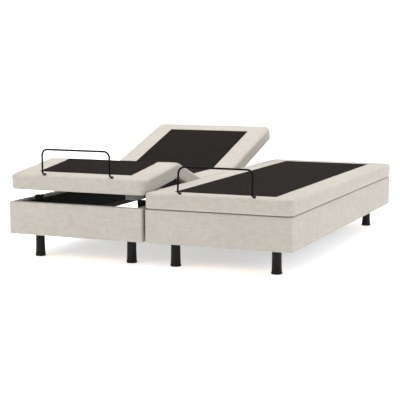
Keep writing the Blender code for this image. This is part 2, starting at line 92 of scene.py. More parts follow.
# %% [markdown]
# ## Measures and joints
#
# Everything is laid out from the frame, so nothing has to be fitted by eye. The seat boards lie
# flat on both bases and give the width and the height of the padded platform. The right base is
# flat from end to end and gives its length. A joint's lower limit says how far its board is
# raised at rest, because every joint can go down to flat.

# %% Measures from the frame
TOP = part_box("right_seat_board")[1].z
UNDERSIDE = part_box("right_seat_board")[0].z
FOOT_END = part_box("right_calf_board")[0].y
HEAD_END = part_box("right_head_board")[1].y
BASE_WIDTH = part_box("right_seat_board")[1].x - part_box("right_seat_board")[0].x
CENTRE_X = {side: sum(corner.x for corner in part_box(f"{side}_seat_board")) / 2 for side in SIDES}
JOINTS = {joint["name"]: joint for joint in frame["joints"]}
PLATFORM_SIZE = Vector((BASE_WIDTH, HEAD_END - FOOT_END, TOP - UNDERSIDE))
NOT_CARRIED = Matrix.Identity(4)


def turn_about(pivot, degrees):
    """A turn about the X direction through a point."""
    turn = Matrix.Rotation(math.radians(degrees), 4, "X")
    return Matrix.Translation(pivot) @ turn @ Matrix.Translation(-pivot)


def joint_chain(side):
    """Each fabric fold of one base: its pivot when flat, its turn at rest and what carries it."""
    head, thigh, knee = (JOINTS[f"{side}_{name}"] for name in ("head_lift", "thigh_lift", "knee_bend"))
    thigh_pivot = Vector(thigh["pos_m"])
    thigh_turn = thigh["range_deg"][0]
    carry = turn_about(thigh_pivot, thigh_turn)
    knee_flat = carry.inverted() @ Vector(knee["pos_m"])
    return {
        "head": {"pivot": Vector(head["pos_m"]), "turn": -head["range_deg"][0], "carry": NOT_CARRIED},
        "thigh": {"pivot": thigh_pivot, "turn": thigh_turn, "carry": NOT_CARRIED},
        "knee": {"pivot": knee_flat, "turn": -knee["range_deg"][0], "carry": carry},
    }


CHAIN = {side: joint_chain(side) for side in SIDES}
print("platform", [round(v, 3) for v in PLATFORM_SIZE], "left turns at rest",
      {name: round(fold["turn"], 1) for name, fold in CHAIN["left"].items()})

# %% [markdown]
# ## Camera
#
# The camera comes early, because it settles how large every detail is on screen. It is a long
# lens from the foot end, a little to the right and just above the bed. Its distance and lens
# were worked out together, since a longer lens from further back flattens the depth.

# %% Camera
camera = bpy.data.objects.new("camera", bpy.data.cameras.new("camera"))
scene.collection.objects.link(camera)
camera.location = (2.509, -6.237, 1.109)
camera.rotation_euler = (math.radians(82.57), 0, math.radians(22.73))
camera.data.lens = 103.91
camera.data.sensor_width = 36
scene.camera = camera
print("camera is", round(camera.location.length, 2), "m from the middle of the bed")

# %% [markdown]
# ## Building materials from nodes
#
# A finish is more than one colour. Each one below gets its colour variation, its roughness and
# its relief from nodes, so it holds up close as well as far away. A small helper adds a node and
# joins its inputs in one line, which keeps each recipe readable: a value that is the same all
# over goes straight on the socket, and a link brings a pattern.

# %% Node helpers
class Recipe:
    """A new material and a short way to add nodes to it."""

    def __init__(self, name):
        self.material = bpy.data.materials.new(name)
        self.material.use_nodes = True
        self.tree = self.material.node_tree
        self.shader = self.tree.nodes["Principled BSDF"]

    def node(self, kind, settings=None, **inputs):
        """Add a node. Inputs go by name, with underscores for spaces, or by number as i0, i1."""
        new = self.tree.nodes.new("ShaderNode" + kind)
        for key, value in (settings or {}).items():
            setattr(new, key, value)
        for key, value in inputs.items():
            self.put(new, key.replace("_", " "), value)
        return new

    def put(self, node, socket, value):
        numbered = socket[0] == "i" and socket[1:].isdigit()
        target = node.inputs[int(socket[1:]) if numbered else socket]
        if isinstance(value, bpy.types.NodeSocket):
            self.tree.links.new(value, target)
        else:
            target.default_value = value

    def finish(self, **inputs):
        """Set the shader's inputs and return the material."""
        for key, value in inputs.items():
            self.put(self.shader, key.replace("_", " "), value)
        return self.material

    def place(self, attribute=None):
        """Where a point is, in metres: its own place, or a stored one that bends with the cloth."""
        if attribute:
            return self.node("Attribute", {"attribute_name": attribute}).outputs["Vector"]
        return self.node("TexCoord").outputs["Object"]

    def stretch(self, place, scale, turn=(0, 0, 0)):
        return self.node("Mapping", Vector=place, Scale=scale, Rotation=turn).outputs["Vector"]

    def noise(self, place, scale, detail=2.0, roughness=0.5):
        made = self.node("TexNoise", Vector=place, Scale=scale, Detail=detail, Roughness=roughness)
        return made.outputs["Fac"]

    def math(self, operation, first, second=0.0, third=0.0):
        settings = {"operation": operation}
        return self.node("Math", settings, i0=first, i1=second, i2=third).outputs[0]

    def ramp(self, value, *stops):
        """A colour ramp from (position, colour) pairs."""
        made = self.node("ValToRGB", Fac=value)
        elements = made.color_ramp.elements
        elements[0].position, elements[1].position = stops[0][0], stops[-1][0]
        for position, _ in stops[1:-1]:
            elements.new(position)
        for element, (_, colour) in zip(elements, stops):
            element.color = (*colour, 1)
        return made.outputs["Color"]

    def mix(self, fac, first, second, blend="MIX"):
        made = self.node("Mix", {"data_type": "RGBA", "blend_type": blend})
        for socket, value in ((0, fac), (6, first), (7, second)):
            if isinstance(value, bpy.types.NodeSocket):
                self.tree.links.new(value, made.inputs[socket])
            else:
                made.inputs[socket].default_value = value if socket == 0 else (*value, 1)
        return made.outputs[2]

    def range(self, value, low, high):
        return self.node("MapRange", Value=value, i3=low, i4=high).outputs["Result"]

    def range_about(self, value, middle, spread):
        """Stretch a value about its middle to the full 0 to 1."""
        return self.node("MapRange", Value=value, i1=middle - spread, i2=middle + spread).outputs["Result"]

    def bump(self, height, distance, strength=1.0, normal=None):
        made = self.node("Bump", Height=height, Distance=distance, Strength=strength)
        if normal is not None:
            self.put(made, "Normal", normal)
        return made.outputs["Normal"]


FLAT_PLACE = "flat_place"
THREADS = "threads"
print("node helpers ready")

# %% [markdown]
# ## Linen-look upholstery
#
# The box and the borders of the platform wear a beige furnishing fabric in plain weave. Warp and
# weft pass over and under each other, so its relief is two sets of ridges that take turns on a
# chequer. Yarn is uneven: thick places, called slubs, run along both directions as faint pale and
# dark streaks, and a slow mottle lies over everything. The threads are read from a UV map in
# metres and the mottle from a stored flat position, so both turn with a raised board. Where the
# fabric turns in under a board, painted shade makes it browner and darker. The strip inside the
# box gets a darker painted shade still.

# %% Fabric recipes
MOTTLE_SHARE, WEAVE_SHARE, CLOUD_SHARE = 0.35, 0.16, 0.12


def woven(name, dark, light, pitch, slub_strength, relief, roughness, sheen, sheen_tint):
    """A plain weave. Pitch is the distance between two threads, and streaks run mostly along X."""
    cloth = Recipe(name)
    place = cloth.place(FLAT_PLACE)
    thread_place = cloth.node("UVMap", {"uv_map": THREADS}).outputs["UV"]
    ridge = 2 * math.pi / (20 * pitch)
    warp = cloth.node("TexWave", {"bands_direction": "X"}, Vector=thread_place, Scale=ridge, Distortion=0.6)
    weft = cloth.node("TexWave", {"bands_direction": "Y"}, Vector=thread_place, Scale=ridge, Distortion=0.6)
    turn = cloth.node("TexChecker", Vector=thread_place, Scale=1 / pitch).outputs["Fac"]
    ridges = {"i2": warp.outputs["Fac"], "i3": weft.outputs["Fac"]}
    weave = cloth.node("Mix", {"data_type": "FLOAT"}, i0=turn, **ridges).outputs[0]
    slub_across = cloth.noise(cloth.stretch(thread_place, (11, 330, 1)), 1.0, 3.0, 0.6)
    slub_along = cloth.noise(cloth.stretch(thread_place, (330, 14, 1)), 1.0, 3.0, 0.6)
    mottle = cloth.noise(place, 28.0, 4.0, 0.6)
    cloud = cloth.noise(place, 3.5, 2.0, 0.5)
    slubs = cloth.math("MULTIPLY_ADD", slub_across, 1.35, cloth.math("MULTIPLY", slub_along, 0.65))
    tone = cloth.math("MULTIPLY_ADD", slubs, slub_strength, cloth.math("MULTIPLY", mottle, MOTTLE_SHARE))
    tone = cloth.math("MULTIPLY_ADD", weave, WEAVE_SHARE, tone)
    tone = cloth.math("MULTIPLY_ADD", cloud, CLOUD_SHARE, tone)
    middle = slub_strength + (MOTTLE_SHARE + WEAVE_SHARE + CLOUD_SHARE) / 2
    colour = cloth.ramp(cloth.range_about(tone, middle, 0.32), (0.0, dark), (1.0, light))
    height = cloth.math("MULTIPLY_ADD", slubs, 0.35, weave)
    normal = cloth.bump(height, relief)
    rough = cloth.range(weave, roughness - 0.06, roughness + 0.04)
    return cloth.finish(
        Base_Color=colour, Roughness=rough, Normal=normal, Sheen_Weight=sheen, Sheen_Roughness=0.5,
        Sheen_Tint=(*sheen_tint, 1), Specular_IOR_Level=sheen,
    )


LINEN = woven(
    "beige_linen", (0.278, 0.255, 0.222), (0.435, 0.413, 0.383),
    0.0016, 0.42, 0.0004, 0.92, 0.06, (1, 0.97, 0.93),
)
INSET = woven(
    "charcoal_grip", (0.0040, 0.0032, 0.0026), (0.0170, 0.0142, 0.0124),
    0.0022, 0.45, 0.0006, 0.95, 0.015, (0.9, 0.85, 0.8),
)
# Painted shade: the same linen, coloured darker and browner where it turns in under a board, as the shade
# under it.
TURN_IN_PAINTED_SHADE = woven(
    "linen_turned_in_painted_shade", (0.20, 0.155, 0.115), (0.40, 0.33, 0.26),
    0.0016, 0.5, 0.0004, 0.95, 0.05, (1, 0.9, 0.8),
)
# Painted shade: the beige strip turned inside the box and the box's bottom are coloured dark brown, as the
# shade inside and under the box.
WALL_INSIDE_PAINTED_SHADE = woven(
    "linen_inside_box_painted_shade", (0.028, 0.022, 0.018), (0.075, 0.061, 0.050),
    0.0016, 0.5, 0.0004, 0.95, 0.03, (1, 0.9, 0.8),
)
print("fabrics:", LINEN.name, INSET.name, TURN_IN_PAINTED_SHADE.name, WALL_INSIDE_PAINTED_SHADE.name)

# %% [markdown]
# ## Lining, plastic, steel and wood
#
# The undersides are closed with a black non-woven lining, a felt of pressed fibres with a grid of
# small weld points. The legs are black satin plastic with a fine moulded grain. The bars and the
# frame are powder coated, which leaves a soft orange-peel skin, and rubs thin on sharp edges. Pins
# and rods are zinc plated. The motors are grey moulded plastic, and the end boards are plywood.

# %% Hard finishes
def edge_wear(recipe, low=0.53, high=0.62):
    """A mask that is 1 on outward edges, where a finish rubs thin."""
    pointiness = recipe.node("NewGeometry").outputs["Pointiness"]
    edges = recipe.node("MapRange", Value=pointiness, i1=low, i2=high).outputs["Result"]
    scuffs = recipe.noise(recipe.place(), 140.0, 4.0, 0.7)
    return recipe.math("MULTIPLY", edges, recipe.range_about(scuffs, 0.5, 0.12))


def lining_fabric():
    felt = Recipe("black_lining")
    place = felt.place(FLAT_PLACE)
    fibres = felt.noise(place, 900.0, 4.0, 0.8)
    clumps = felt.noise(place, 60.0, 3.0, 0.6)
    points = felt.node("TexVoronoi", {"feature": "F1"}, Vector=place, Scale=220.0, Randomness=0.15)
    welds = felt.node("MapRange", Value=points.outputs["Distance"], i1=0.18, i2=0.3).outputs["Result"]
    tone = felt.math("MULTIPLY_ADD", clumps, 0.5, felt.math("MULTIPLY", fibres, 0.5))
    colour = felt.ramp(tone, (0.25, (0.003, 0.003, 0.0035)), (0.8, (0.013, 0.0125, 0.0125)))
    height = felt.math("MULTIPLY_ADD", fibres, 0.4, welds)
    return felt.finish(
        Base_Color=colour, Roughness=felt.range(welds, 0.6, 0.95), Normal=felt.bump(height, 0.0003),
        Sheen_Weight=0.03, Specular_IOR_Level=0.1,
    )


def moulded(name, dark, light, roughness, grain, relief, wear_colour):
    """Moulded plastic: a fine grain, slow drift of tone, polish on the edges."""
    plastic = Recipe(name)
    place = plastic.place()
    cells = plastic.node("TexVoronoi", {"feature": "SMOOTH_F1"}, Vector=place, Scale=grain, Smoothness=0.4)
    drift = plastic.noise(place, 22.0, 3.0, 0.6)
    wear = edge_wear(plastic)
    colour = plastic.ramp(drift, (0.3, dark), (0.7, light))
    colour = plastic.mix(plastic.math("MULTIPLY", wear, 0.5), colour, wear_colour)
    smear = plastic.noise(plastic.stretch(place, (1, 1, 0.2)), 70.0, 4.0, 0.65)
    rough = plastic.range(smear, roughness - 0.1, roughness + 0.1)
    return plastic.finish(
        Base_Color=colour, Roughness=rough, Normal=plastic.bump(cells.outputs["Distance"], relief, 0.6),
        Specular_IOR_Level=0.12,
    )


def powder_coat():
    coat = Recipe("black_powder_coat")
    place = coat.place()
    peel = coat.noise(place, 420.0, 2.0, 0.5)
    dust = coat.noise(place, 35.0, 5.0, 0.7)
    wear = edge_wear(coat, 0.55, 0.66)
    colour = coat.ramp(dust, (0.3, (0.0015, 0.0015, 0.0015)), (0.75, (0.0045, 0.0042, 0.004)))
    colour = coat.mix(coat.math("MULTIPLY", wear, 0.35), colour, (0.16, 0.15, 0.14))
    return coat.finish(
        Base_Color=colour, Roughness=coat.range(dust, 0.38, 0.55), Normal=coat.bump(peel, 0.0002, 0.5),
        Metallic=0.0, Specular_IOR_Level=0.04,
    )


def zinc_plate():
    zinc = Recipe("zinc_plate")
    place = zinc.place()
    brushed = zinc.noise(zinc.stretch(place, (30, 900, 900)), 1.0, 4.0, 0.6)
    bloom = zinc.noise(place, 55.0, 5.0, 0.65)
    colour = zinc.ramp(bloom, (0.3, (0.42, 0.43, 0.44)), (0.75, (0.66, 0.67, 0.68)))
    rough = zinc.math("ADD", zinc.range(bloom, 0.22, 0.4), zinc.range(brushed, 0.0, 0.12))
    normal = zinc.bump(brushed, 0.00012, 0.4)
    return zinc.finish(Base_Color=colour, Roughness=rough, Normal=normal, Metallic=1.0)


PLY_PITCH = 0.0036


def plywood():
    wood = Recipe("birch_plywood")
    place = wood.place()
    bent = wood.node("TexNoise", Vector=place, Scale=6.0, Detail=2.0)
    lifted = wood.node("VectorMath", {"operation": "SCALE"}, i0=bent.outputs["Color"], i3=0.03)
    moved = wood.node("VectorMath", {"operation": "ADD"}, i0=place, i1=lifted.outputs["Vector"])
    moved = moved.outputs["Vector"]
    grain = wood.noise(wood.stretch(moved, (5, 160, 160)), 1.0, 5.0, 0.65)
    pores = wood.noise(wood.stretch(place, (40, 1400, 1400)), 1.0, 2.0, 0.5)
    ply_scale = math.pi / (10 * PLY_PITCH)
    plies = wood.node("TexWave", {"bands_direction": "Z"}, Vector=place, Scale=ply_scale, Distortion=0.3)
    colour = wood.ramp(
        grain, (0.3, (0.36, 0.235, 0.125)), (0.55, (0.52, 0.36, 0.21)), (0.8, (0.60, 0.45, 0.28))
    )
    layers = wood.math("MULTIPLY", plies.outputs["Fac"], 0.25)
    colour = wood.mix(layers, colour, (0.22, 0.13, 0.07), "MULTIPLY")
    height = wood.math("MULTIPLY_ADD", pores, 0.5, grain)
    rough = wood.range(grain, 0.55, 0.75)
    return wood.finish(Base_Color=colour, Roughness=rough, Normal=wood.bump(height, 0.0003, 0.6))


LINING = lining_fabric()
LEG_BLACK = moulded(
    "black_satin_plastic", (0.0035, 0.0034, 0.0032), (0.007, 0.0067, 0.0063),
    0.42, 1500.0, 0.0001, (0.05, 0.05, 0.05),
)
MOTOR_GREY = moulded(
    "grey_plastic", (0.20, 0.205, 0.21), (0.27, 0.275, 0.28), 0.5, 1100.0, 0.00015, (0.36, 0.365, 0.37)
)
RUBBER = moulded(
    "black_rubber", (0.012, 0.012, 0.012), (0.02, 0.02, 0.02), 0.8, 600.0, 0.0002, (0.04, 0.04, 0.04)
)
POWDER = powder_coat()
ZINC = zinc_plate()
PLYWOOD = plywood()
print("hard finishes:", LINING.name, LEG_BLACK.name, MOTOR_GREY.name, POWDER.name, ZINC.name, PLYWOOD.name)

# %% [markdown]
# ## Small modelling helpers
#
# Every piece is shaped in a bmesh and then made an object at the origin, with its place in its
# mesh. Faces that meet at less than a given angle are shaded smooth, and sharper edges stay crisp.

# %% Modelling helpers
def everything(bm):
    return bm.verts[:] + bm.edges[:] + bm.faces[:]


def make_piece(name, bm, materials, sharp=35.0, body=None, stands_for=()):
    """Turn a bmesh into a finished piece that rides on a body."""
    mesh = bpy.data.meshes.new(name)
    bm.to_mesh(mesh)
    bm.free()
    for material in materials:
        mesh.materials.append(material)
    mesh.shade_smooth()
    mesh.set_sharp_from_angle(angle=math.radians(sharp))
    piece = bpy.data.objects.new(name, mesh)
    scene.collection.objects.link(piece)
    if body:
        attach(piece, body)
    if stands_for:
        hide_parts(*stands_for)
    return piece


def block(low, high):
    """A bmesh box between two corners."""
    bm = bmesh.new()
    bmesh.ops.create_cube(bm, size=1.0)
    bmesh.ops.scale(bm, vec=Vector(high) - Vector(low), verts=bm.verts)
    bmesh.ops.translate(bm, vec=(Vector(high) + Vector(low)) / 2, verts=bm.verts)
    return bm


def round_edges(bm, edges, offset, segments):
    bmesh.ops.bevel(
        bm, geom=edges, offset=offset, offset_type="OFFSET", segments=segments, profile=0.5,
        affect="EDGES", clamp_overlap=True, material=-1,
    )


def slice_at(bm, axis, places):
    """Cut the mesh's faces along planes square to an axis, without opening it."""
    normal = Vector((axis == "x", axis == "y", axis == "z"))
    for place in places:
        bmesh.ops.bisect_plane(bm, geom=everything(bm), dist=1e-6, plane_co=normal * place, plane_no=normal)


def lay_threads(bm):
    """Store where each point lies while its cover is flat, and a UV map in metres for the weave."""
    layer = bm.verts.layers.float_vector.get(FLAT_PLACE) or bm.verts.layers.float_vector.new(FLAT_PLACE)
    for vert in bm.verts:
        vert[layer] = vert.co
    threads = bm.loops.layers.uv.get(THREADS) or bm.loops.layers.uv.new(THREADS)
    bm.normal_update()
    for face in bm.faces:
        facing = [abs(v) for v in face.normal]
        across, along = ((2, 1), (0, 2), (0, 1))[facing.index(max(facing))]
        for loop in face.loops:
            loop[threads].uv = (loop.vert.co[across], loop.vert.co[along])


print("modelling helpers ready")

# %% [markdown]
# ## The padded platform
#
# The platform is foam under stretched fabric: a beige border with a charcoal non-slip inset sewn
# flush into it, over the whole length and over all the hinges. It could be four separate pads,
# but then a gap would open at each fold, so the cover is made in one flat piece first: a box
# whose corners and rims are rounded. It is cut along the seams, the seams are drawn in, and the
# surface gets the slight unevenness of foam. Later it is divided where nothing bends, in the
# middle of the thigh board and in the middle of the seat board, and each part spans one fold.

# %% The flat platform
CORNER_RADIUS = 0.040
TOP_SOFTNESS = 0.017
LOW_SOFTNESS = 0.009
SIDE_BORDER = 0.125
FOOT_BORDER = 0.106
HEAD_BORDER = 0.104
SEAM_HALF = 0.0022
SEAM_DEPTH = 0.0014
TURNED_IN = 0.034
SLICE = 0.05
FOLD_SLICE = 0.008
FOLD_LINES = [CHAIN["right"][name]["pivot"].y for name in ("knee", "thigh", "head")]


def rounded_platform():
    """The platform's outer shape in one piece, centred on x 0."""
    half = PLATFORM_SIZE.x / 2
    bm = block((-half, FOOT_END, UNDERSIDE), (half, HEAD_END, TOP))
    upright = [e for e in bm.edges if abs(e.verts[0].co.z - e.verts[1].co.z) > 0.01]
    round_edges(bm, upright, CORNER_RADIUS, 8)
    for height, softness, segments in ((TOP, TOP_SOFTNESS, 6), (UNDERSIDE, LOW_SOFTNESS, 4)):
        rim = [e for e in bm.edges if all(abs(v.co.z - height) < 1e-5 for v in e.verts)]
        round_edges(bm, rim, softness, segments)
    return bm


def seam_distance(place):
    """How far a point of the top is from the inset's seam line, seen from above."""
    x = PLATFORM_SIZE.x / 2 - SIDE_BORDER
    low, high = FOOT_END + FOOT_BORDER, HEAD_END - HEAD_BORDER
    dx = abs(place.x) - x
    dy = max(low - place.y, place.y - high)
    if dx > 0 and dy > 0:
        return math.hypot(dx, dy)
    return abs(max(dx, dy))


def inside_inset(place):
    x = PLATFORM_SIZE.x / 2 - SIDE_BORDER
    return abs(place.x) < x and FOOT_END + FOOT_BORDER < place.y < HEAD_END - HEAD_BORDER


def near_edge(place):
    """How far a point is from the platform's outline or from the nearest fold."""
    return min(
        PLATFORM_SIZE.x / 2 - abs(place.x), place.y - FOOT_END, HEAD_END - place.y,
        *(abs(place.y - line) for line in FOLD_LINES),
    )


def flat_platform():
    bm = rounded_platform()
    half = PLATFORM_SIZE.x / 2
    seams_x = [sign * (half - SIDE_BORDER) + d for sign in (-1, 1) for d in (-SEAM_HALF, 0, SEAM_HALF)]
    seam_ends = (FOOT_END + FOOT_BORDER, HEAD_END - HEAD_BORDER)
    seams_y = [y + d for y in seam_ends for d in (-SEAM_HALF, 0, SEAM_HALF)]
    turned_x = [-half + TURNED_IN, half - TURNED_IN]
    turned_y = [FOOT_END + TURNED_IN, HEAD_END - TURNED_IN]
    turned_y += [line + d for line in FOLD_LINES for d in (-TURNED_IN * 0.8, TURNED_IN * 0.8)]
    folds = [line + step * FOLD_SLICE for line in FOLD_LINES for step in range(-8, 9)]
    plain = [FOOT_END + SLICE * i for i in range(1, 40)]
    far_from_folds = [y for y in plain if min(abs(y - line) for line in FOLD_LINES) > 0.07]
    slice_at(bm, "x", seams_x + turned_x + [-half + SLICE * i for i in range(1, 16)])
    slice_at(bm, "y", seams_y + turned_y + folds + far_from_folds)
    slice_at(bm, "z", [UNDERSIDE + 0.02, UNDERSIDE + 0.035, UNDERSIDE + 0.05])
    return bm


def soften(bm):
    """Draw in the seam, crease the sides at the folds and give the foam its unevenness."""
    for vert in bm.verts:
        flat = vert.co.copy()
        on_top = flat.z > TOP - 0.004
        swell = noise.noise(flat * 6.0) * 0.0009 + noise.noise(flat * 19.0 + Vector((7, 3, 1))) * 0.0004
        if on_top:
            border = PLATFORM_SIZE.x / 2 - abs(flat.x)
            pillow = min(1.0, seam_distance(flat) / 0.05)
            vert.co.z += swell + 0.0008 * (1 - (1 - pillow) ** 2) * min(1.0, border / 0.03)
            if seam_distance(flat) < SEAM_HALF * 0.5:
                vert.co.z -= SEAM_DEPTH
        elif flat.z > UNDERSIDE + 0.012:
            on_long_side = abs(flat.x) > PLATFORM_SIZE.x / 2 - 0.012
            across, along = math.copysign(1, flat.x), math.copysign(1, flat.y)
            outward = Vector((across, 0, 0)) if on_long_side else Vector((0, along, 0))
            vert.co += outward * (swell * 1.2)


platform = flat_platform()
lay_threads(platform)
soften(platform)
print("flat platform:", len(platform.faces), "faces")

# %% Fabric areas of the platform
AREAS = (LINEN, INSET, LINING, TURN_IN_PAINTED_SHADE)
for face in platform.faces:
    centre = face.calc_center_median()
    if face.normal.z > 0.7 and inside_inset(centre):
        face.material_index = 1
    elif face.normal.z < -0.9:
        # Painted shade: the underside's rim along the edges and the folds takes the darker, browner
        # turned-in linen, and the rest takes the black lining.
        face.material_index = 3 if near_edge(centre) < TURNED_IN else 2
print("areas:", [sum(f.material_index == i for f in platform.faces) for i in range(4)])

# %% [markdown]
# ## Bending the covers over the folds
#
# A cover follows one board before a fold and the next board after it, and turns smoothly in
# between. The raised base rests bent, so its covers have to be bent first, and in the same way:
# how far a point turns depends on where it ends up. That is solved by repeating two steps until
# they agree, turn the points by their share, then work out their share again.

# %% Bend and divide the covers
FOLD_REACH = {"head": 0.045, "thigh": 0.045, "knee": 0.058}
FOLD_TOWARDS = {"head": 1, "thigh": -1, "knee": -1}


def fold_span(side, name):
    """Where the turn starts and ends at rest, on the line that halves the fold."""
    fold = CHAIN[side][name]
    pivot = fold["carry"] @ fold["pivot"]
    before = fold["carry"].to_3x3() @ Vector((0, FOLD_TOWARDS[name], 0))
    after = Matrix.Rotation(math.radians(fold["turn"]), 3, "X") @ before
    middle = (before + after).normalized() * FOLD_REACH[name]
    return pivot - middle, pivot + middle


def placed(points, fold, share):
    """Flat points turned about the fold by their share of its turn, then carried along."""
    angle = share * math.radians(fold["turn"])
    pivot = np.array(fold["pivot"])
    offset = points - pivot
    turned = offset.copy()
    turned[:, 1] = offset[:, 1] * np.cos(angle) - offset[:, 2] * np.sin(angle)
    turned[:, 2] = offset[:, 1] * np.sin(angle) + offset[:, 2] * np.cos(angle)
    carry = np.array(fold["carry"])
    return (turned + pivot) @ carry[:3, :3].T + carry[:3, 3]


def share_of_turn(points, start, end):
    start, end = np.array(start), np.array(end)
    along = np.clip((points - start) @ (end - start) / ((end - start) @ (end - start)), 0, 1)
    return along * along * (3 - 2 * along)


def bend_cover(piece, side, name):
    """Move a flat cover's points to where they lie at rest."""
    fold = CHAIN[side][name]
    start, end = fold_span(side, name)
    flat = np.array([v.co for v in piece.data.vertices])
    share = (np.sign(flat[:, 1] - fold["pivot"].y) * FOLD_TOWARDS[name] > 0).astype(float)
    for _ in range(200):
        share = 0.5 * share + 0.5 * share_of_turn(placed(flat, fold, share), start, end)
    rest = placed(flat, fold, share)
    piece.data.vertices.foreach_set("co", rest.astype(np.float32).ravel())
    piece.data.update()
    return np.abs(share_of_turn(rest, start, end) - share).max()


def part_of_platform(low_y, high_y, centre_x):
    """A copy of the platform between two cuts, closed where it is cut."""
    bm = platform.copy()
    for cut, outward in ((low_y, -1), (high_y, 1)):
        if cut is None:
            continue
        made = bmesh.ops.bisect_plane(
            bm, geom=everything(bm), dist=1e-6, plane_co=(0, cut, 0), plane_no=(0, outward, 0),
            clear_outer=True,
        )
        rim = [item for item in made["geom_cut"] if isinstance(item, bmesh.types.BMEdge)]
        cap = bmesh.ops.edgeloop_fill(bm, edges=rim, mat_nr=2)["faces"]
        print("  cap of", len(cap), "face at", round(cut, 3))
    bmesh.ops.recalc_face_normals(bm, faces=bm.faces)
    bmesh.ops.translate(bm, vec=(centre_x, 0, 0), verts=bm.verts)
    return bm


KNEE, THIGH, HEAD = FOLD_LINES
MID_THIGH, MID_SEAT = (KNEE + THIGH) / 2, (THIGH + HEAD) / 2
COVERS = {
    "calf_cover": ("knee", None, MID_THIGH, ("calf_board",)),
    "thigh_cover": ("thigh", MID_THIGH, MID_SEAT, ("thigh_board", "seat_board")),
    "head_cover": ("head", MID_SEAT, None, ("head_board",)),
}
for side in SIDES:
    for cover_name, (fold_name, low_y, high_y, boards) in COVERS.items():
        bm = part_of_platform(low_y, high_y, CENTRE_X[side])
        cover = make_piece(f"{side}_{cover_name}", bm, AREAS, sharp=50.0)
        error = bend_cover(cover, side, fold_name)
        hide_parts(*(f"{side}_{board}" for board in boards))
        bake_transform(cover)
        print(cover.name, len(cover.data.polygons), "faces, share settled to", f"{error:.1e}")
platform.free()

# %% [markdown]
# ## The upholstered box
#
# Each base's box is four boards wrapped in the same fabric. The fabric turns over the top edge
# and is stapled in a line, where it leaves a narrow groove whose floor is painted black as shade,
# and at the bottom it turns inside by three centimetres over the black lining, where painted shade
# makes it dark. The box could be four boards, but the fabric goes round the corners in one
# stretch, so it is one ring: a series of rounded rectangles, each a little further in or lower,
# bridged one to the next.

# %% Box covers
WALL_RADIUS = 0.013
WALL = 0.045
GROOVE = 0.0035
STRIP = 0.031


def outline_loop(bm, low, high, radius, z):
    """The edges of a flat rectangle with rounded corners."""
    made = bmesh.ops.create_grid(bm, x_segments=1, y_segments=1, size=0.5)
    corners = made["verts"]
    bmesh.ops.scale(bm, vec=(high.x - low.x, high.y - low.y, 1), verts=corners)
    bmesh.ops.translate(bm, vec=((low.x + high.x) / 2, (low.y + high.y) / 2, z), verts=corners)
    bmesh.ops.bevel(
        bm, geom=corners, offset=radius, segments=6, profile=0.5, affect="VERTICES",
        clamp_overlap=True, material=-1,
    )
    edges = bm.edges[:]
    bmesh.ops.delete(bm, geom=bm.faces[:], context="FACES_ONLY")
    return edges


def ring(low, high, radius, profile):
    """A closed ring about an upright axis. profile lists (inset, height, area of the next strip)."""
    bm = bmesh.new()
    centre = (low + high) / 2
    loop = outline_loop(bm, low, high, radius, profile[0][1])
    first = loop
    inset, height, area = profile[0]
    shift_loop(bm, loop, centre, inset, 0)
    for next_inset, next_height, next_area in profile[1:]:
        made = bmesh.ops.extrude_edge_only(bm, edges=loop)["geom"]
        for face in (item for item in made if isinstance(item, bmesh.types.BMFace)):
            face.material_index = area
        old = {vert for edge in loop for vert in edge.verts}
        new = [item for item in made if isinstance(item, bmesh.types.BMVert)]
        loop = [item for item in made if isinstance(item, bmesh.types.BMEdge) and not old & set(item.verts)]
        shift_loop(bm, loop, centre, next_inset - inset, next_height - height)
        inset, height, area = next_inset, next_height, next_area
    for face in bmesh.ops.bridge_loops(bm, edges=loop + first)["faces"]:
        face.material_index = area
    bmesh.ops.recalc_face_normals(bm, faces=bm.faces)
    return bm


def shift_loop(bm, loop, centre, inward, upward):
    """Move each quarter of a loop towards the middle, so that its corners keep their radius."""
    points = {vert for edge in loop for vert in edge.verts}
    for side_x in (-1, 1):
        half = [v for v in points if (v.co.x - centre.x) * side_x > 0]
        for side_y in (-1, 1):
            quarter = [v for v in half if (v.co.y - centre.y) * side_y > 0]
            bmesh.ops.translate(bm, vec=(-side_x * inward, -side_y * inward, upward), verts=quarter)


def box_profile(low, top):
    """Outer face, rounded top with its stapled groove, lining, turned-in strip and bottom."""
    fabric, lining, strip = 0, 1, 2
    lined = WALL - 0.0006
    return (
        (0.0024, low, fabric), (0.0006, low + 0.0010, fabric), (0, low + 0.003, fabric),
        (0, top - 0.008, fabric), (0.0006, top - 0.0048, fabric), (0.0022, top - 0.0019, fabric),
        (0.0046, top - 0.0005, fabric), (0.0070, top, fabric), (0.0112, top - 0.0002, fabric),
        # Painted shade: the groove's floor and its inner wall take the black lining, as the shade in the
        # groove.
        (0.0126, top - GROOVE, lining), (0.0146, top - GROOVE, lining), (0.0160, top - 0.0004, fabric),
        (WALL - 0.006, top - 0.0004, fabric), (WALL - 0.0022, top - 0.002, fabric),
        # Painted shade: from low + STRIP down, the inner face and the bottom take the dark linen of painted
        # shade.
        (lined, top - 0.006, fabric), (lined, top - 0.012, lining), (lined, low + STRIP, strip),
        (WALL, low + STRIP - 0.0008, strip), (WALL, low + 0.001, strip), (WALL - 0.001, low, strip),
    )


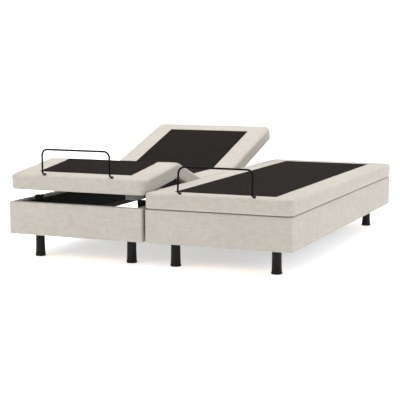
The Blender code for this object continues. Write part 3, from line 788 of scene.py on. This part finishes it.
for side in SIDES:
    walls = [f"{side}_{wall}_wall" for wall in ("foot", "head", "outer", "inner")]
    corners = [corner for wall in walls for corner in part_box(wall)]
    low = Vector(min(corner[i] for corner in corners) for i in range(3))
    high = Vector(max(corner[i] for corner in corners) for i in range(3))
    bm = ring(low, high, WALL_RADIUS, box_profile(low.z, high.z))
    slice_at(bm, "y", [low.y + 0.1 * i for i in range(1, 20)])
    slice_at(bm, "x", [low.x + 0.1 * i for i in range(1, 8)])
    slice_at(bm, "z", [low.z + 0.045, low.z + 0.09, low.z + 0.135])
    lay_threads(bm)
    box_cover = make_piece(
        f"{side}_box_cover", bm, (LINEN, LINING, WALL_INSIDE_PAINTED_SHADE), sharp=50.0, body="base",
        stands_for=walls,
    )
    print(box_cover.name, len(box_cover.data.polygons), "faces")

# %% [markdown]
# ## Legs
#
# The legs are round, moulded in black satin plastic and a little wider towards the floor, where a
# groove sets off a soft glide. A round piece is turned: half of its outline is drawn as a chain
# of edges and spun about the leg's axis.

# %% Turned legs
LEG_OUTLINE = (
    (0.0, 1.0), (0.0235, 1.0), (0.0243, 0.995), (0.0245, 0.985), (0.0245, 0.60), (0.0249, 0.40),
    (0.0256, 0.22), (0.0264, 0.135), (0.0268, 0.105), (0.0266, 0.098), (0.0256, 0.095), (0.0254, 0.083),
    (0.0262, 0.079), (0.0276, 0.076), (0.0280, 0.070), (0.0280, 0.028), (0.0276, 0.012), (0.0266, 0.003),
    (0.0250, 0.0), (0.0, 0.0),
)


GLIDE_TOP = 0.079


def turned(outline, centre, steps):
    """Spin a chain of (radius, height) points about an upright axis."""
    bm = bmesh.new()
    chain = [bm.verts.new((centre[0] + radius, centre[1], height)) for radius, height in outline]
    edges = [bm.edges.new(pair) for pair in zip(chain, chain[1:])]
    bmesh.ops.spin(
        bm, geom=chain + edges, cent=(centre[0], centre[1], 0), axis=(0, 0, 1), angle=2 * math.pi,
        steps=steps, use_merge=True,
    )
    bmesh.ops.remove_doubles(bm, verts=bm.verts, dist=1e-5)
    bmesh.ops.recalc_face_normals(bm, faces=bm.faces)
    return bm


for side in SIDES:
    for row in ("foot", "head"):
        for column in ("outer", "inner"):
            node = f"{side}_leg_{row}_{column}"
            low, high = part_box(node)
            middle = (low + high) / 2
            bm = turned([(radius, height * high.z) for radius, height in LEG_OUTLINE], middle, 40)
            for face in bm.faces:
                face.material_index = int(face.calc_center_median().z < GLIDE_TOP * high.z)
            make_piece(
                f"{node}_turned", bm, (LEG_BLACK, RUBBER), body="base",
                stands_for=[node],
            )
print("8 legs turned, each", round(high.z * 1000), "mm high")

# %% [markdown]
# ## Retainer bars
#
# The bar that keeps the mattress from sliding is one bent wire: both feet lie on the board, and the
# loop stands up, leaning back a little. A wire is a circle carried along a path. Straight lengths
# are extruded and bends are spun about their own centre, as a bending machine does it. Both bars
# are made on a flat board, then turned with the calf board. Small clamps hold the feet.

# %% Bent wire and clamps
WIRE = 0.005
LOOP_WIDTH = 0.397
LOOP_CORNER = 0.032
FOOT_BEND = 0.012
FOOT_REACH = 0.015
LEAN = 5.0


class Wire:
    """A tube that grows from a circle, straight or round a bend."""

    def __init__(self, start, radius, sides=16):
        self.bm = bmesh.new()
        made = bmesh.ops.create_circle(self.bm, cap_ends=True, radius=radius, segments=sides)
        upright = Matrix.Rotation(math.pi / 2, 3, "Y")
        bmesh.ops.rotate(self.bm, verts=made["verts"], cent=(0, 0, 0), matrix=upright)
        bmesh.ops.translate(self.bm, verts=made["verts"], vec=start)
        self.end = self.bm.edges[:]
        self.place = Vector(start)

    def ring_of(self, geometry):
        """The open end: edges that belong to one face only."""
        edges = [item for item in geometry if isinstance(item, bmesh.types.BMEdge)]
        return [edge for edge in edges if len(edge.link_faces) == 1]

    def straight(self, along):
        made = bmesh.ops.extrude_edge_only(self.bm, edges=self.end)["geom"]
        points = [item for item in made if isinstance(item, bmesh.types.BMVert)]
        bmesh.ops.translate(self.bm, verts=points, vec=along)
        self.end = self.ring_of(made)
        self.place += Vector(along)

    def bend(self, centre, axis, degrees, steps):
        points = list({vert for edge in self.end for vert in edge.verts})
        angle = math.radians(degrees)
        made = bmesh.ops.spin(
            self.bm, geom=self.end + points, cent=centre, axis=axis, angle=angle, steps=steps
        )["geom_last"]
        self.end = self.ring_of(made)
        centre = Vector(centre)
        self.place = Matrix.Rotation(angle, 3, axis) @ (self.place - centre) + centre

    def close(self):
        bmesh.ops.edgeloop_fill(self.bm, edges=self.end)
        bmesh.ops.recalc_face_normals(self.bm, faces=self.bm.faces)
        return self.bm


def bent_bar(low, high):
    """The bar inside its box, lying on a flat board: feet towards +X, loop leaning back."""
    y = low.y + WIRE
    foot_z = low.z + WIRE
    crown_z = foot_z + (high.z - WIRE - foot_z) / math.cos(math.radians(LEAN))
    first, second = low.x + WIRE, low.x + WIRE + LOOP_WIDTH
    back = Vector((0, 1, 0))
    wire = Wire((first + FOOT_REACH, y, foot_z), WIRE)
    wire.straight((FOOT_BEND - FOOT_REACH, 0, 0))
    wire.bend((first + FOOT_BEND, y, foot_z + FOOT_BEND), back, 90, 8)
    wire.straight((0, 0, crown_z - LOOP_CORNER - wire.place.z))
    wire.bend((first + LOOP_CORNER, y, crown_z - LOOP_CORNER), back, 90, 10)
    wire.straight((second - LOOP_CORNER - wire.place.x, 0, 0))
    wire.bend((second - LOOP_CORNER, y, crown_z - LOOP_CORNER), back, 90, 10)
    wire.straight((0, 0, foot_z + FOOT_BEND - wire.place.z))
    wire.bend((second + FOOT_BEND, y, foot_z + FOOT_BEND), back, -90, 8)
    wire.straight((second + FOOT_REACH - wire.place.x, 0, 0))
    lean = Matrix.Rotation(math.radians(-LEAN), 3, "X")
    bmesh.ops.rotate(wire.bm, verts=wire.bm.verts, cent=(first, y, foot_z), matrix=lean)
    return wire.close(), (first + FOOT_REACH, second + FOOT_REACH), y


CLAMP_BACK, CLAMP_FRONT, CLAMP_HALF, CLAMP_TALL = 0.002, 0.008, 0.0075, 0.0110
SCREW_LOW, SCREW_HIGH, SCREW_TALL = 0.0030, 0.0024, 0.0012


def clamp(x, y, z):
    """A small block with a rounded back that the wire's end is pressed into, and its screw."""
    bm = block((x - CLAMP_BACK, y - CLAMP_HALF, z), (x + CLAMP_FRONT, y + CLAMP_HALF, z + CLAMP_TALL))
    upper = [e for e in bm.edges if all(v.co.z > z + 0.01 for v in e.verts)]
    round_edges(bm, upper, 0.003, 4)
    round_edges(bm, [e for e in bm.edges if abs(e.verts[0].co.z - e.verts[1].co.z) > 0.006], 0.002, 3)
    head = bmesh.ops.create_cone(
        bm, cap_ends=True, segments=20, radius1=SCREW_LOW, radius2=SCREW_HIGH, depth=SCREW_TALL,
        matrix=Matrix.Translation((x + 0.003, y, z + 0.0113)),
    )["verts"]
    faces = [face for face in bm.faces if set(face.verts) <= set(head)]
    top = max(faces, key=lambda face: face.calc_center_median().z)
    bmesh.ops.inset_region(bm, faces=[top], thickness=0.0010, depth=-0.0006)
    return bm


def calf_place(side):
    """From the flat base to where the calf board lies at rest."""
    knee = CHAIN[side]["knee"]
    return knee["carry"] @ turn_about(knee["pivot"], knee["turn"])


for side in SIDES:
    low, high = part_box("right_retainer_bar")
    shift = Vector((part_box(f"{side}_retainer_bar")[0].x - low.x, 0, 0))
    bm, ends, y = bent_bar(low + shift, high + shift)
    bmesh.ops.transform(bm, matrix=calf_place(side), verts=bm.verts)
    bar = make_piece(
        f"{side}_bar", bm, (POWDER,), body=f"{side}_calf",
        stands_for=[f"{side}_retainer_bar"],
    )
    for number, x in enumerate(ends, 1):
        bm = clamp(x - 0.004, y, TOP)
        bmesh.ops.transform(bm, matrix=calf_place(side), verts=bm.verts)
        make_piece(f"{side}_bar_clamp_{number}", bm, (LEG_BLACK,), body=f"{side}_calf")
    print(bar.name, len(bar.data.polygons), "faces, with two clamps")

# %% [markdown]
# ## Posts with rubber buffers
#
# The two posts under the calf board end in soft rubber buffers, taller than the box. The board's
# weight presses them flat when it comes down. The lowered base has its buffers pressed flat, and
# they stay flat when its board is raised. Each post is cut short to leave room for a flat buffer.

# %% Posts and buffers
POST_CUT = 0.003
POST_ROUNDING = 0.0015
BUFFER_TALL = {"left": 0.0205, "right": 0.0016}
BUFFER_ROUNDING = {"left": 0.0018, "right": 0.0006}
BUFFER_LIP = 0.001
for side in SIDES:
    for column in ("outer", "inner"):
        node = f"{side}_calf_rest_{column}"
        low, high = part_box(node)
        seat = high.z - POST_CUT
        bm = block(low, (high.x, high.y, seat))
        round_edges(bm, bm.edges[:], POST_ROUNDING, 3)
        make_piece(f"{node}_post", bm, (POWDER,), body="base", stands_for=[node])
        bottom = (low.x - BUFFER_LIP, low.y - BUFFER_LIP, seat)
        bm = block(bottom, (high.x + BUFFER_LIP, high.y + BUFFER_LIP, seat + BUFFER_TALL[side]))
        round_edges(bm, bm.edges[:], BUFFER_ROUNDING[side], 3)
        buffer = make_piece(f"{node}_buffer", bm, (RUBBER,), body="base")
        if side == "left":
            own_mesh(buffer)
print("4 posts with buffers")

# %% [markdown]
# ## The steel frame and the drives
#
# Beams, levers, pins, motors, rods, end boards and straps already have their true shape in the
# mechanical frame, so they stay, and all of them but the straps get their finish.

# %% Finishes of the frame's own pieces
FINISHES = {
    "beam": POWDER, "lever": POWDER, "pin": ZINC, "rod": ZINC, "link_plate": ZINC, "sill": PLYWOOD,
    "motor": MOTOR_GREY, "control_box": MOTOR_GREY,
}
dressed = 0
for name, node in frame["nodes"].items():
    finish = next((made for part, made in FINISHES.items() if part in name), None)
    if finish and not node.hide_render:
        node.data.materials.clear()
        node.data.materials.append(finish)
        dressed += 1
print(dressed, "pieces of the frame finished")

# %% [markdown]
# ## Floor, light and background
#
# A plain studio: a pale floor that runs out of the frame, one wide soft light above, a softer one
# at the foot end and one at the right, and an even white surround that keeps shadows faint.

# %% Studio
def studio_floor():
    floor = Recipe("studio_floor")
    speckle = floor.noise(floor.place(), 3.0, 3.0, 0.5)
    colour = floor.ramp(speckle, (0.3, (0.93, 0.93, 0.93)), (0.7, (0.96, 0.96, 0.96)))
    glow = {"Emission_Color": (1, 1, 1, 1), "Emission_Strength": 0.52}
    return floor.finish(Base_Color=colour, Roughness=0.9, **glow)


def soft_light(name, place, aim, size, power, colour):
    light = bpy.data.lights.new(name, "AREA")
    light.color = colour
    light.shape = "DISK"
    light.size = size
    light.energy = power
    lamp = bpy.data.objects.new(name, light)
    lamp.location = place
    lamp.rotation_euler = (Vector(aim) - Vector(place)).to_track_quat("-Z", "Y").to_euler()
    scene.collection.objects.link(lamp)


bm = bmesh.new()
bmesh.ops.create_grid(bm, x_segments=1, y_segments=1, size=60)
floor = make_piece("floor", bm, (studio_floor(),))
floor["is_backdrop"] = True
soft_light("overhead", (0.0, 0.0, 4.5), (0, 0, 0.2), 4.0, 236, (1.0, 0.99, 0.985))
soft_light("foot_fill", (-2.6, -4.2, 1.9), (-0.4, -0.8, 0.2), 2.5, 64, (1.0, 0.95, 0.88))
soft_light("right_fill", (5.0, 0.5, 2.0), (0.6, 0, 0.2), 3.0, 92, (0.93, 0.97, 1.0))
world = bpy.data.worlds.new("surround")
world.use_nodes = True
world.node_tree.nodes["Background"].inputs["Color"].default_value = (1, 1, 1, 1)
world.node_tree.nodes["Background"].inputs["Strength"].default_value = 1.0
scene.world = world
scene.view_settings.view_transform = "Standard"
scene.view_settings.look = "None"
print("studio ready")

# %% [markdown]
# ## Sizes and finish
#
# The dressed bed's bounding box is set beside its frame's, and how much it grows is printed. The
# dressed bed has to stay the size of its frame.

# %% Print the sizes and finish
dressed_low, dressed_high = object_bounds()
growth = (dressed_high - dressed_low) - (cad_high - cad_low)
print("visual grows by", [round(v * 1000, 1) for v in growth], "mm")
